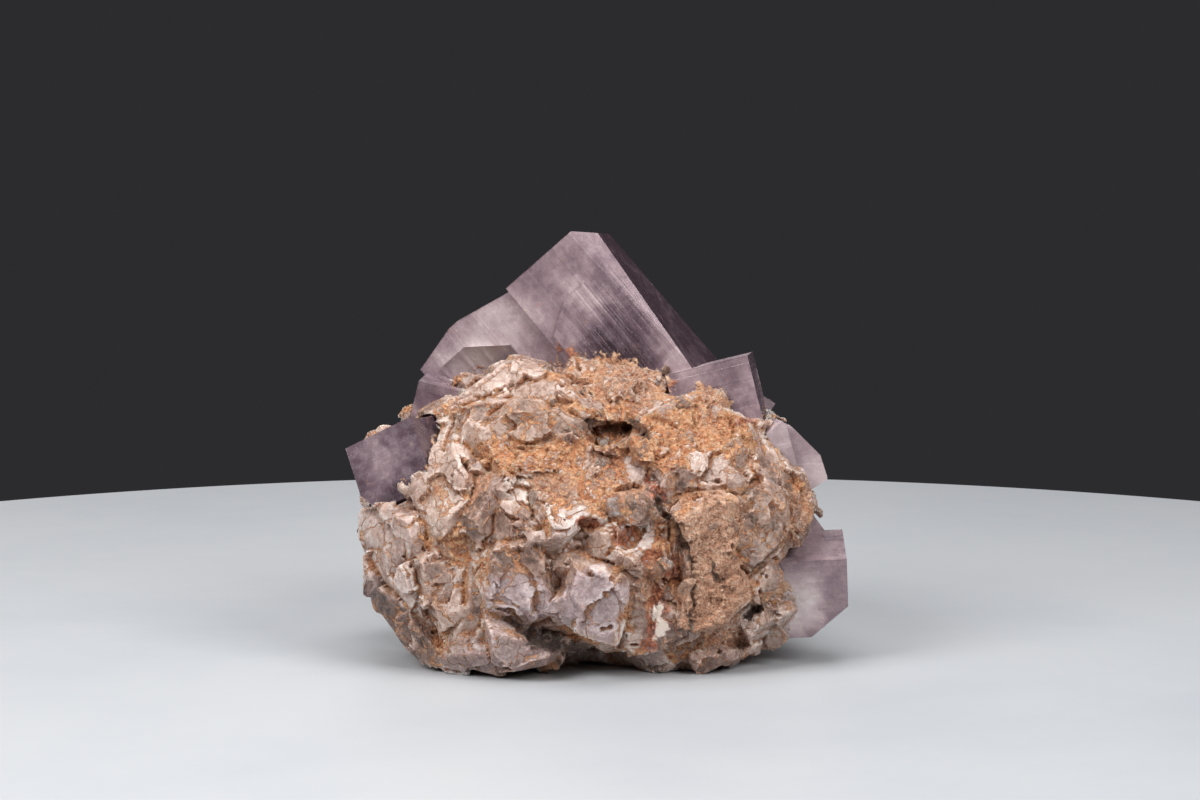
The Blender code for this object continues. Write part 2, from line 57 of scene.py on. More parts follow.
# A round table, pale and smooth, in a dark room
TABLE_RADIUS = 200.0
TABLE_CENTRE = (0.0, -18.0)
TABLE_THICKNESS = 9.0
TABLE_ROUNDING = 1.5
TABLE_COLOUR = (181, 183, 186)
ROOM_COLOUR = (44, 44, 46)

# Soft lights: place, width and watts. Each points at the middle of the specimen
Light = namedtuple("Light", "name place size watts")
LIGHT_AIM = (0.0, 0.0, 25.0)
LIGHTS = (
    Light("key", (-310.0, -270.0, 370.0), 280.0, 2.7),
    Light("fill", (300.0, -310.0, 340.0), 280.0, 2.15),
    Light("top", (10.0, -30.0, 450.0), 300.0, 1.45),
    Light("back", (-160.0, 560.0, 420.0), 420.0, 0.6),
)

# The rock's mesh, and how it is broken into facets: how many, how far they tilt, and how deep they may cut
ROCK_VOXEL = 0.36
ROCK_SEED = 7
Facets = namedtuple("Facets", "spacing tilt step limit")
LARGE_FACETS = Facets(3.6, 0.26, 0.16, 0.80)
SMALL_FACETS = Facets(1.3, 0.30, 0.10, 0.30)
NEAR_FACETS = 4
FACET_FACING = 0.7  # a point only joins a facet that faces its own way this far,
FACET_REACH = 1.2  # and lies within this many limits of it
ROCK_SMOOTHING = 8  # rounds that soften the solid before it is broken
ROCK_KEPT = 0.70  # the share of its faces that is kept once it is shaped
STONE_GLOW = 0.75  # the share of light that goes on under the stone's skin, and how far, in millimetres
STONE_GLOW_RADIUS = (1.8, 1.3, 1.1)
QUARTZ_IOR = 1.54
CHIP_CLEARNESS = 0.45
CHIP_TINT = (222, 204, 190)
CHIP_DENSITY = 120.0
EDGE_GAIN = 5.0  # how quickly a raised edge or a small crease counts as one. Raised edges get a painted highlight and, from wear, less stain; creases get more stain and painted shade

# What the rock is made of, place by place. Each kind says how much of it is stained, how orange the stain is, how
# lilac and how pale the stone is, how dark and clear its depths are, how sandy it is, and how rough its surface
Kind = namedtuple("Kind", "stain orange plum pale deep sand rough")
KINDS = {
    "crust": Kind(0.58, 0.40, 0.00, 0.30, 0.20, 0.10, 1.0),
    "ochre": Kind(0.76, 0.90, 0.00, 0.30, 0.10, 0.10, 1.0),
    "pink": Kind(0.66, 0.55, 0.00, 0.55, 0.10, 0.00, 0.7),
    "beige": Kind(0.32, 0.35, 0.00, 0.66, 0.15, 0.00, 0.4),
    "sandy": Kind(0.60, 0.30, 0.00, 0.20, 0.10, 1.00, 0.9),
    "grey": Kind(0.24, 0.30, 0.10, 0.42, 0.30, 0.00, 0.3),
    "olive": Kind(0.30, 0.70, 0.00, 0.28, 0.45, 0.00, 0.3),
    "smoky": Kind(0.26, 0.40, 0.10, 0.15, 0.75, 0.00, 0.3),
    "rose": Kind(0.22, 0.30, 0.20, 0.70, 0.10, 0.00, 0.2),
    "white": Kind(0.16, 0.30, 0.05, 0.60, 0.05, 0.00, 0.4),
    "lilac": Kind(0.10, 0.20, 0.75, 0.55, 0.15, 0.00, 0.2),
    "blue": Kind(0.14, 0.20, 0.45, 0.34, 0.40, 0.00, 0.2),
    "brown": Kind(0.34, 0.30, 0.15, 0.10, 0.75, 0.00, 0.4),
}
MASKS = ("stain", "orange", "plum", "pale", "deep", "sand")

# Small pieces on the rock: chips of stone that lie in its surface, and grains of crust. How many stand on each square
# centimetre, how large they are, how far out their middles lie as a share of that, how they tilt, and their wear.
# Chips have kinds of their own
Scatter = namedtuple("Scatter", "per_cm2 sizes out tilt wear kinds")
CHIP_SHAPES = 60
CHIP_BLOCK = (1.0, 0.8, 0.6)
SCATTERS = {
    "stone_chips": Scatter(3.0, (1.4, 3.6), (-0.34, -0.20), 0.35, 0.03,
                           ("grey", "beige", "rose", "smoky", "olive", "pink", "white", "lilac")),
    "crust_grains": Scatter(26.0, (0.22, 0.52), (-0.44, -0.16), 2.0, 0.0, ()),
}
CRUST_REACH = 0.9  # how far crust climbs from the rock onto the crystals
CRUST_ON_CRYSTALS = 140.0  # grains per square centimetre there, at its foot

# The kinds on the front, with their outlines in X and Z
Patch = namedtuple("Patch", "kind outline")
PATCHES = (
    Patch("white", ((-17.5, 36.5), (-17, 38.5), (-14, 40), (-10.5, 41.5), (-7.5, 40.2), (-6, 38), (-7, 36.2),
                    (-14.5, 36))),
    Patch("olive", ((-20, 33.5), (-18.5, 36), (-13.5, 36.6), (-6.5, 36.2), (-4, 34), (-5.5, 31.5),
                    (-13.5, 30.5), (-18.5, 31))),
    Patch("ochre", ((-16, 31.5), (-3, 32.5), (-2, 29.5), (-5.5, 27), (-13.5, 27.5), (-16.5, 29.5))),
    Patch("ochre", ((5.5, 34.5), (12, 37), (19, 34.5), (21.5, 31), (19, 29), (12, 29.5), (8, 26.5), (4.5, 29))),
    Patch("ochre", ((-3.5, 34.5), (1, 35.5), (6, 35.2), (7.5, 32), (5, 30), (0, 29.5), (-3, 31.5))),
    Patch("crust", ((-6, 37.5), (-4, 41.5), (1, 40.5), (6.5, 41), (12, 39.5), (11, 36.5), (5, 36))),
    Patch("grey", ((10.5, 27), (12, 29.5), (15.5, 30), (18, 29.5), (19.5, 27.5), (18, 25), (13.5, 25.5))),
    Patch("grey", ((5.5, 26), (7.5, 28), (9.5, 26.5), (9, 25), (6.5, 24.5))),
    Patch("pink", ((-10, 27), (-5.5, 28.5), (1.5, 27.5), (5.5, 25), (5, 22), (-1.5, 21), (-8, 23))),
    Patch("white", ((-14.5, 27), (-10.5, 27.5), (-11, 24.5), (-13.5, 24))),
    Patch("rose", ((-7.5, 24), (-5, 24.5), (-2.5, 23), (-2.5, 21), (-4, 19), (-5.5, 17.5), (-7, 19))),
    Patch("smoky", ((-18.5, 23), (-17, 25), (-14.5, 24.5), (-14, 22.5), (-15, 20), (-18, 20.5))),
    Patch("smoky", ((-13.5, 23.5), (-9.5, 23.5), (-9.5, 20), (-10.5, 19), (-14, 18.5), (-15, 20.5))),
    Patch("smoky", ((-15.5, 14.5), (-14, 18.5), (-10.5, 19.5), (-8, 18), (-7.4, 15))),
    Patch("lilac", ((-15.5, 14.5), (-7.4, 15), (-5.8, 11), (-6, 9), (-7, 8), (-10.5, 8), (-15, 10))),
    Patch("lilac", ((-6, 10), (-3, 16), (0.5, 16.5), (3.5, 14), (3, 8), (2, 5), (-6, 8.5))),
    Patch("blue", ((-15, 9), (-9.5, 5.8), (-5, 4.4), (-6, 1.7), (-9, 1.7), (-13.5, 0.6), (-15, 4.5))),
    Patch("blue", ((-22, 3), (-17, 5.5), (-13.5, 3.5), (-13.5, 0.8), (-15, -1), (-20, -1))),
    Patch("white", ((-25.5, 14.5), (-22, 15.5), (-19.5, 11), (-18, 7), (-19.5, 5), (-22.5, 6.5), (-25, 10.5))),
    Patch("beige", ((-2, 21), (1.5, 22), (5, 20), (4.5, 17.5), (0.5, 17), (-2, 18))),
    Patch("olive", ((1, 16.5), (3, 18), (6, 17), (6.5, 15.5), (5.5, 14), (3.5, 14))),
    Patch("rose", ((-31, 23), (-32.5, 21), (-32.5, 17), (-28, 15), (-24, 17), (-24, 21), (-27.5, 23.5))),
    Patch("rose", ((-32, 16.5), (-31.5, 10.5), (-28.5, 7), (-25, 9), (-24, 14), (-27, 16))),
    Patch("grey", ((-24, 17.5), (-21, 18.5), (-19.5, 14), (-21, 9.5), (-23.6, 9), (-24.5, 13))),
    Patch("brown", ((-32, 11.5), (-31.2, 9), (-28.5, 6), (-24.5, 0.5), (-22, -1), (-20.5, 2), (-23.5, 6),
                    (-27.5, 10))),
    Patch("grey", ((-26, 23), (-25.5, 26.5), (-23, 30.5), (-21.4, 31), (-21.6, 26), (-23, 22))),
    Patch("beige", ((-22, 26), (-20.5, 31), (-18, 30.5), (-18, 23.5), (-21.5, 18.5), (-22.8, 21.5))),
    Patch("white", ((-20, 32), (-18.5, 31), (-17.5, 26.5), (-18, 23), (-19.5, 21.5), (-20, 25.5))),
    Patch("sandy", ((9.5, 22.5), (13.5, 25), (18, 24.5), (18, 18.5), (19.5, 14), (20, 10.5), (18.5, 8.5),
                    (15, 6.5), (10.5, 7), (11, 12), (11, 18))),
    Patch("olive", ((18, 23.5), (21.5, 25.5), (25.5, 25), (25.5, 20.5), (24, 17), (21, 15.5), (18.5, 16))),
    Patch("crust", ((25.5, 25.5), (28, 25), (28.8, 22), (28.8, 19), (26.5, 16), (24.5, 17), (25, 21.5))),
    Patch("olive", ((20, 13), (22, 15), (24.5, 13.5), (24.5, 11.5), (22, 9), (20.5, 9.5))),
    Patch("white", ((18.8, 6.8), (23, 9), (26.4, 9.6), (27.4, 5), (26, 2.9), (23.4, 2.8), (20.6, 1.5))),
    Patch("brown", ((11.5, 2.4), (16, 4.2), (20.4, 2.6), (19, 1.4), (16.3, -0.4), (12.8, -0.4))),
)
FRONT_DEPTH = 6.0  # the patches lie on the front of the rock, nearer than this

# Small marks on the front: red pits, dark pits and cracks whose dark colour is painted shade, and a bright spot. Each
# follows a path in X and Z, at a half width, and is pitted to a depth
Mark = namedtuple("Mark", "mask path half depth")
MARK_MASKS = ("rust", "dark", "bright")
MARKS = (
    Mark("rust", ((-2.1, 21.6), (-1.3, 21.5)), 0.9, 0.5),
    Mark("rust", ((2.6, 20.0), (3.8, 19.4)), 1.3, 0.7),
    Mark("rust", ((6.0, 16.8), (7.4, 17.2)), 0.9, 0.6),
    Mark("rust", ((9.3, 15.4), (9.9, 13.8)), 1.0, 0.4),
    Mark("rust", ((7.6, 11.6), (7.9, 8.4), (6.6, 4.9)), 1.3, 0.2),
    Mark("rust", ((6.5, 26.6), (8.3, 24.9)), 0.8, 0.4),
    Mark("rust", ((18.5, 33.5), (20.5, 33.9)), 0.7, 0.3),
    Mark("bright", ((8.0, 9.9), (8.2, 7.4), (7.6, 5.6)), 0.7, 0.0),
    Mark("dark", ((7.5, 23.8), (10.2, 20.2), (11.9, 16.2), (12.3, 10.8), (11.6, 5.0)), 0.50, 0.7),
    Mark("dark", ((15.0, 15.6), (16.0, 13.2)), 0.5, 0.3),
    Mark("dark", ((-1.4, 33.3), (1.4, 32.2), (4.2, 33.2), (5.8, 32.6)), 0.9, 1.4),
    Mark("dark", ((-8.6, 5.6), (-4.6, 4.4), (-1.4, 3.2)), 1.2, 0.6),
    Mark("dark", ((19.5, 7.5), (22.5, 9.6), (25.2, 10.6)), 0.5, 0.4),
)
FRONT_KINDS = ("beige", "grey", "rose", "beige", "pink", "olive", "smoky", "crust", "beige", "ochre")
OTHER_KINDS = ("crust", "beige", "grey", "ochre", "rose", "smoky", "lilac", "crust")
NOISE_SHIFTS = (Vector((0.0, 0.0, 0.0)), Vector((17.3, 5.1, 9.7)), Vector((41.9, 23.5, 31.1)))  # for X, Y and Z
KIND_PATCH = 18.0  # square millimetres to one patch of a kind, away from the outlines above

# Directions of the crystals' own edges, in each node: along and back. Growth lines run along the first
GROWTH = {
    "crown_crystals": (
        ((0.633, -0.173, -0.754), (0.23, 0.97, -0.03)),
        ((0.633, -0.173, -0.754), (0.34, 0.94, 0.01)),
        ((0.965, -0.10, 0.245), (0.07, 0.99, -0.06)),
        ((0.96, -0.10, -0.25), (0.20, 0.97, 0.05)),
        ((0.80, 0.30, -0.50), (-0.28, 0.95, 0.12)),
        ((0.86, 0.30, -0.40), (-0.36, 0.92, -0.10)),
        ((0.72, -0.42, 0.55), (0.50, 0.86, -0.05)),
    ),
    "back_crystals": (
        ((0.90, -0.20, 0.38), (0.26, 0.95, -0.12)),
        ((0.76, 0.34, 0.55), (-0.30, 0.93, -0.14)),
        ((0.64, 0.20, -0.74), (-0.10, 0.97, 0.18)),
    ),
    "back_right_crystals": (
        ((0.80, 0.50, 0.33), (-0.56, 0.82, 0.06)),
        ((0.60, 0.30, -0.74), (-0.30, 0.94, 0.14)),
    ),
    "back_left_crystal": (((0.70, -0.60, -0.38), (0.62, 0.78, -0.06)),),
    "left_crystal": (
        ((0.835, -0.33, 0.44), (0.44, 0.87, -0.20)),
        ((0.90, -0.22, 0.24), (0.30, 0.94, -0.06)),
    ),
    "right_crystal": (
        ((0.99, 0.14, 0.0), (-0.14, 0.99, 0.03)),
        ((0.96, 0.10, 0.26), (-0.10, 0.99, 0.04)),
    ),
    "lower_right_crystal": (
        ((0.995, -0.03, 0.05), (0.26, 0.93, 0.25)),
        ((0.78, 0.20, 0.59), (-0.16, 0.98, -0.10)),
    ),
}
FLUORITE_IOR = 1.434

# Places on a crystal that are milkier, more lined, crusted with ochre or rusty: the middle and half sizes in X, Y
# and Z, how they are turned about Y in degrees, and how strongly they show
Spot = namedtuple("Spot", "mask centre half turn strength")
# In a look, the direction after the density is the outward direction of one face that is painted darker: painted
# shade. NO_SIDE paints none.
Look = namedtuple("Look", "milk clear tint density dark_side spots")
NO_SIDE = (0.0, 0.0, 0.0)
FRONT_MIDDLE = -4.0  # in Y, of the spots that show on the front alone, and their half size
FRONT_HALF = 26.0
CROWN_SPOTS = (
    Spot("milk", (-17.0, FRONT_MIDDLE, 42.5), (14.0, FRONT_HALF, 9.0), -40.0, 0.22),
    Spot("milk", (-3.0, FRONT_MIDDLE, 50.5), (5.0, FRONT_HALF, 2.6), 30.0, 0.16),
    Spot("milk", (-2.5, FRONT_MIDDLE, 56.0), (8.0, FRONT_HALF, 6.0), 0.0, 0.03),
    Spot("milk", (2.5, FRONT_MIDDLE, 42.5), (7.5, FRONT_HALF, 7.0), 40.0, -0.24),
    Spot("lines", (2.0, FRONT_MIDDLE, 45.0), (11.0, FRONT_HALF, 9.0), 50.0, 0.75),
    Spot("milk", (12.0, FRONT_MIDDLE, 40.5), (7.0, FRONT_HALF, 3.0), 50.0, 0.12),
    Spot("milk", (-18.0, FRONT_MIDDLE, 40.5), (8.0, FRONT_HALF, 3.6), -8.0, 0.24),
    Spot("crust", (1.5, FRONT_MIDDLE, 38.6), (12.0, FRONT_HALF, 4.8), 12.0, 0.66),
    Spot("milk", (4.0, FRONT_MIDDLE, 40.0), (9.0, FRONT_HALF, 4.0), 25.0, -0.20),
    Spot("crust", (-13.0, FRONT_MIDDLE, 37.6), (10.0, FRONT_HALF, 3.2), -10.0, 0.60),
    Spot("crust", (15.5, FRONT_MIDDLE, 36.4), (4.0, FRONT_HALF, 2.4), 30.0, 0.60),
    Spot("rust", (-4.6, FRONT_MIDDLE, 42.0), (3.0, FRONT_HALF, 2.4), 40.0, 0.55),
    Spot("rust", (9.8, FRONT_MIDDLE, 37.8), (2.2, FRONT_HALF, 1.3), -30.0, 0.45),
    Spot("rust", (-17.0, FRONT_MIDDLE, 39.4), (3.0, FRONT_HALF, 1.0), -20.0, 0.40),
    Spot("milk", (21.0, FRONT_MIDDLE, 37.0), (4.0, FRONT_HALF, 3.0), 0.0, 0.10),
    Spot("milk", (-23.5, FRONT_MIDDLE, 36.6), (4.5, FRONT_HALF, 4.2), 0.0, -0.26),
)
CRYSTAL_LOOKS = {
    "crown_crystals": Look(0.34, 0.42, (176, 150, 164), 60.0, (0.737, -0.154, 0.654), CROWN_SPOTS),
    "back_crystals": Look(0.28, 0.55, (176, 150, 164), 60.0, NO_SIDE, ()),
    "back_right_crystals": Look(0.28, 0.55, (176, 150, 164), 60.0, NO_SIDE, ()),
    "back_left_crystal": Look(0.28, 0.55, (176, 150, 164), 60.0, NO_SIDE, ()),
    "left_crystal": Look(0.17, 0.55, (170, 150, 162), 60.0, NO_SIDE, (
        Spot("milk", (-29.0, -8.0, 28.5), (5.0, 30.0, 4.0), 20.0, 0.14),
        Spot("crust", (-22.5, -8.0, 27.5), (1.8, 30.0, 6.0), 10.0, 0.60),
    )),
    "right_crystal": Look(0.52, 0.45, (210, 196, 200), 30.0, NO_SIDE, (
        Spot("crust", (27.0, -7.0, 23.0), (5.0, 30.0, 2.2), 10.0, 0.65),
    )),
    "lower_right_crystal": Look(0.32, 0.40, (176, 150, 160), 50.0, NO_SIDE, (
        Spot("milk", (26.5, -12.0, 8.5), (5.5, 30.0, 6.5), 0.0, 0.44),
        Spot("crust", (22.0, -8.0, 9.0), (6.0, 30.0, 8.0), 0.0, 0.60),
    )),
}
EDGE_BEVEL = 0.14
GROWTH_SPACING = (0.45, 1.5)
GROWTH_DEPTH = 0.05
GROWTH_RAMP = 0.04


def paint(red, green, blue):
    """A screen colour as the light that Blender works with."""
    linear = []
    for value in (red, green, blue):
        share = value / 255
        linear.append(share / 12.92 if share <= 0.04045 else ((share + 0.055) / 1.055) ** 2.4)
    return (*linear, 1.0)


class Shader:
    """One material in the making. Each call adds a node and returns what it gives out."""

    def __init__(self, name):
        self.material = bpy.data.materials.new(name)
        self.material.use_nodes = True
        self.tree = self.material.node_tree
        self.surface = self.tree.nodes["Principled BSDF"]
        place = self.add("ShaderNodeTexCoord").outputs["Object"]
        self.place = self.scaled(place, (1 / MM,) * 3)

    def add(self, kind, **settings):
        node = self.tree.nodes.new(kind)
        for setting, value in settings.items():
            setattr(node, setting, value)
        return node

    def feed(self, socket, value):
        if isinstance(value, bpy.types.NodeSocket):
            self.tree.links.new(value, socket)
        else:
            socket.default_value = value

    def set(self, **inputs):
        """Gives values or links to the surface's inputs, with underscores for the spaces in their names."""
        for name, value in inputs.items():
            self.feed(self.surface.inputs[name.replace("_", " ")], value)

    def scaled(self, vector, factors):
        node = self.add("ShaderNodeVectorMath", operation="MULTIPLY")
        self.feed(node.inputs[0], vector)
        node.inputs[1].default_value = factors
        return node.outputs[0]

    def turned(self, along, back):
        """The place in a crystal's own directions."""
        node = self.add("ShaderNodeMapping")
        self.feed(node.inputs["Vector"], self.place)
        node.inputs["Rotation"].default_value = own_axes(along, back).to_euler()
        return node.outputs["Vector"]

    def noise(self, size, detail=4.0, roughness=0.55, distortion=0.0, at=None):
        """Clouds about size millimetres across, from 0 to 1."""
        node = self.add("ShaderNodeTexNoise")
        self.feed(node.inputs["Vector"], at or self.place)
        node.inputs["Scale"].default_value = 1 / size
        node.inputs["Detail"].default_value = detail
        node.inputs["Roughness"].default_value = roughness
        node.inputs["Distortion"].default_value = distortion
        return node.outputs["Fac"]

    def clouds(self, size, detail=4.0, roughness=0.55, distortion=0.0, at=None):
        """The same clouds, with their whole range from 0 to 1 in use."""
        return self.span(self.noise(size, detail, roughness, distortion, at), 0.32, 0.68)

    def cells(self, size, feature="F1", output="Distance", at=None):
        node = self.add("ShaderNodeTexVoronoi", feature=feature)
        self.feed(node.inputs["Vector"], at or self.place)
        node.inputs["Scale"].default_value = 1 / size
        return node.outputs[output]

    def attribute(self, name):
        return self.add("ShaderNodeAttribute", attribute_name=name).outputs["Fac"]

    def calc(self, operation, first, second=0.0, clamp=False):
        node = self.add("ShaderNodeMath", operation=operation, use_clamp=clamp)
        self.feed(node.inputs[0], first)
        self.feed(node.inputs[1], second)
        return node.outputs[0]

    def total(self, *parts):
        """Adds up values, each times its own share."""
        result = 0.0
        for value, share in parts:
            node = self.add("ShaderNodeMath", operation="MULTIPLY_ADD")
            for socket, given in zip(node.inputs, (value, share, result)):
                self.feed(socket, given)
            result = node.outputs[0]
        return result

    def wavy(self, size, amount):
        """The place, pushed about by noise, so that straight cells become natural."""
        push = self.add("ShaderNodeTexNoise")
        self.feed(push.inputs["Vector"], self.place)
        push.inputs["Scale"].default_value = 1 / size
        node = self.add("ShaderNodeVectorMath", operation="MULTIPLY_ADD")
        self.feed(node.inputs[0], push.outputs["Color"])
        node.inputs[1].default_value = (amount, amount, amount)
        self.feed(node.inputs[2], self.place)
        return node.outputs[0]

    def spot(self, spot):
        """A soft-edged blot with ragged edges: 1 at its middle, 0 outside it."""
        node = self.add("ShaderNodeMapping", vector_type="TEXTURE")
        self.feed(node.inputs["Vector"], self.wavy(2.5, 3.0))
        node.inputs["Location"].default_value = Vector(spot.centre) + Vector((1.5, 1.5, 1.5))
        node.inputs["Rotation"].default_value = (0.0, math.radians(spot.turn), 0.0)
        node.inputs["Scale"].default_value = spot.half
        size = self.add("ShaderNodeVectorMath", operation="LENGTH")
        self.feed(size.inputs[0], node.outputs["Vector"])
        return self.span(size.outputs["Value"], 1.0, 0.3)

    def span(self, value, low, high, to_low=0.0, to_high=1.0):
        """Turns low to high into to_low to to_high, softly, and holds it there outside."""
        node = self.add("ShaderNodeMapRange", interpolation_type="SMOOTHSTEP")
        for name, given in zip(
            ("Value", "From Min", "From Max", "To Min", "To Max"), (value, low, high, to_low, to_high)
        ):
            self.feed(node.inputs[name], given)
        return node.outputs["Result"]

    def mix(self, share, first, second, blend="MIX"):
        node = self.add("ShaderNodeMix", data_type="RGBA", blend_type=blend)
        self.feed(node.inputs["Factor"], share)
        self.feed(node.inputs[6], first)
        self.feed(node.inputs[7], second)
        return node.outputs[2]

    def ramp(self, value, *stops):
        """Colours along a value: each stop is a place from 0 to 1 and a screen colour."""
        node = self.add("ShaderNodeValToRGB")
        self.feed(node.inputs["Fac"], value)
        elements = node.color_ramp.elements
        while len(elements) < len(stops):
            elements.new(1.0)
        for element, (place, colour) in zip(elements, stops):
            element.position = place
            element.color = paint(*colour)
        return node.outputs["Color"]

    def absorb(self, tint, density):
        """Tints what is seen through the depth of the piece."""
        node = self.add("ShaderNodeVolumeAbsorption")
        node.inputs["Color"].default_value = paint(*tint)
        node.inputs["Density"].default_value = density
        self.feed(self.tree.nodes["Material Output"].inputs["Volume"], node.outputs["Volume"])

    def bump(self, height, depth, normal=None):
        """Relief of a depth in millimetres, on top of another normal."""
        node = self.add("ShaderNodeBump")
        node.inputs["Strength"].default_value = 1.0
        node.inputs["Distance"].default_value = depth * MM
        self.feed(node.inputs["Height"], height)
        if normal is not None:
            self.feed(node.inputs["Normal"], normal)
        return node.outputs["Normal"]


def own_axes(along, back):
    """The turn from the model's directions to a crystal's own."""
    x = Vector(along).normalized()
    z = x.cross(Vector(back)).normalized()
    return Matrix((x, z.cross(x), z))


def link(obj):
    bpy.context.scene.collection.objects.link(obj)
    return obj


def aimed(place, target):
    """The turn that makes a lamp at one place point at another."""
    return (Vector(target) - Vector(place)).to_track_quat("-Z", "Y").to_euler()


def add_camera():
    data = bpy.data.cameras.new("camera")
    data.lens = CAMERA_LENS
    data.sensor_width = CAMERA_SENSOR
    data.clip_start = 0.01
    camera = link(bpy.data.objects.new("camera", data))
    camera.location = Vector(CAMERA_PLACE) * MM
    camera.rotation_euler = (math.radians(90 - CAMERA_PITCH), 0.0, 0.0)
    bpy.context.scene.camera = camera


def add_lights():
    for light in LIGHTS:
        data = bpy.data.lights.new(light.name, "AREA")
        data.size = light.size * MM
        data.energy = light.watts
        lamp = link(bpy.data.objects.new(light.name, data))
        lamp.location = Vector(light.place) * MM
        lamp.rotation_euler = aimed(light.place, LIGHT_AIM)
    world = bpy.data.worlds.new("room")
    world.use_nodes = True
    world.node_tree.nodes["Background"].inputs["Color"].default_value = paint(*ROOM_COLOUR)
    bpy.context.scene.world = world
    bpy.context.scene.view_settings.view_transform = "Standard"


def table_finish():
    shader = Shader("table")
    wear = shader.noise(60.0, detail=6.0)
    shader.set(
        Base_Color=shader.mix(shader.span(wear, 0.35, 0.75), paint(*TABLE_COLOUR), paint(170, 173, 178)),
        Roughness=shader.span(wear, 0.3, 0.7, 0.42, 0.5),
        Specular_IOR_Level=0.35,
    )
    return shader.material


def add_table():
    """The round table top, which isn't part of the specimen."""
    bm = bmesh.new()
    bmesh.ops.create_cone(
        bm, cap_ends=True, segments=256, radius1=TABLE_RADIUS * MM, radius2=TABLE_RADIUS * MM,
        depth=TABLE_THICKNESS * MM,
    )
    rims = [edge for edge in bm.edges if abs(edge.verts[0].co.z - edge.verts[1].co.z) < 1e-6]
    bmesh.ops.bevel(bm, geom=rims, offset=TABLE_ROUNDING * MM, segments=3, affect="EDGES", profile=0.5)
    mesh = bpy.data.meshes.new("table")
    bm.to_mesh(mesh)
    bm.free()
    table = link(bpy.data.objects.new("table", mesh))
    table.location = (TABLE_CENTRE[0] * MM, TABLE_CENTRE[1] * MM, -TABLE_THICKNESS / 2 * MM)
    table.data.materials.append(table_finish())


def points_of(mesh):
    """The mesh's points and their normals, in millimetres."""
    points = np.empty(len(mesh.vertices) * 3)
    normals = np.empty(len(mesh.vertices) * 3)
    mesh.vertices.foreach_get("co", points)
    mesh.vertex_normals.foreach_get("vector", normals)
    return points.reshape(-1, 3) / MM, normals.reshape(-1, 3)


def move_points(mesh, points):
    mesh.vertices.foreach_set("co", (points * MM).ravel())
    mesh.update()


def edges_of(mesh):
    pairs = np.empty(len(mesh.edges) * 2, dtype=np.int64)
    mesh.edges.foreach_get("vertices", pairs)
    return pairs.reshape(-1, 2)


def unit(vectors):
    return vectors / np.maximum(np.linalg.norm(vectors, axis=-1, keepdims=True), 1e-9)


def spread_over(values, pairs, rounds):
    """Averages a value with those of the neighbouring points, a few times over."""
    for _ in range(rounds):
        total = values.copy()
        count = np.ones(len(values))
        for here, there in (pairs.T, pairs[:, ::-1].T):
            for axis in range(values.shape[1]):
                total[:, axis] += np.bincount(here, values[there, axis], len(values))
            count += np.bincount(here, minlength=len(values))
        values = total / count[:, None]
    return values


def nearest(seeds, points, count):
    """For each point, the numbers of its nearest seeds."""
    tree = KDTree(len(seeds))
    for index, seed in enumerate(seeds):
        tree.insert(seed, index)
    tree.balance()
    return np.array([[found[1] for found in tree.find_n(point, count)] for point in points])


def break_facets(points, normals, facets, area, amount, draw):
    """Moves the points onto flat broken facets. Gives the new points, and the facet that each one is on."""
    count = int(area / facets.spacing ** 2)
    chosen = draw.choice(len(points), count, replace=False)
    seeds = points[chosen]
    faces = unit(normals[chosen] + draw.normal(0, facets.tilt, (count, 3)))
    lift = draw.uniform(-facets.step, facets.step, count)
    near = nearest(seeds, points, NEAR_FACETS)
    ahead = np.einsum("nkc,nc->nk", faces[near], normals)
    away = np.einsum("nkc,nkc->nk", seeds[near] - points[:, None], faces[near]) + lift[near]
    height = away / np.maximum(ahead, FACET_FACING)
    fits = (ahead > FACET_FACING) & (np.abs(height) < facets.limit * FACET_REACH)
    height = np.where(fits, height, np.inf)
    lowest = height.argmin(axis=1)
    rows = np.arange(len(points))
    move = np.clip(height[rows, lowest], -facets.limit, facets.limit * 0.5)
    move = np.where(fits.any(axis=1), move, 0.0) * amount
    return points + normals * move[:, None], near[rows, lowest]


def inside(outline, across, up):
    """Which places lie inside an outline."""
    found = np.zeros(len(across), dtype=bool)
    for (x1, z1), (x2, z2) in zip(outline, outline[1:] + outline[:1]):
        crosses = (z1 > up) != (z2 > up)
        with np.errstate(divide="ignore", invalid="ignore"):
            found ^= crosses & (across < (x2 - x1) * (up - z1) / (z2 - z1) + x1)
    return found


def jostled(points, size, amount):
    """The points, each pushed by smooth noise, so that what is read at them has ragged edges."""
    places = [Vector(place) for place in points / size]
    push = np.array([[noise.noise(place + shift) for shift in NOISE_SHIFTS] for place in places])
    return points + push * amount


def kinds_of_rock(points, normals, area, draw):
    """The kind of stone at each point: the patches on the front, and a mixture of chips everywhere else."""
    names = list(KINDS)
    count = int(area / KIND_PATCH)
    seeds = points[draw.choice(len(points), count, replace=False)]
    places = jostled(jostled(points, 3.5, 1.3), 0.9, 0.5)
    cell = nearest(seeds, places, 1)[:, 0]
    on_front = (points[:, 1] < FRONT_DEPTH) & (normals[:, 1] < 0.35)
    front, other = (
        np.array([names.index(choices[pick]) for pick in draw.integers(0, len(choices), count)])[cell]
        for choices in (FRONT_KINDS, OTHER_KINDS)
    )
    kinds = np.where(on_front, front, other)
    for patch in PATCHES:
        kinds[on_front & inside(patch.outline, places[:, 0], places[:, 2])] = names.index(patch.kind)
    return np.array([KINDS[name] for name in names])[kinds]


def hollows_of(points, normals, pairs, rounds):
    """How deep each point lies in a hollow, from about 0 to 1: where the neighbourhood stands in front of it."""
    around = spread_over(points, pairs, rounds)
    return np.clip(np.einsum("nc,nc->n", around - points, normals), -1.0, 1.0)


def give(mesh, name, values):
    attribute = mesh.attributes.new(name, "FLOAT", "POINT")
    attribute.data.foreach_set("value", np.ascontiguousarray(values, dtype=np.float32))


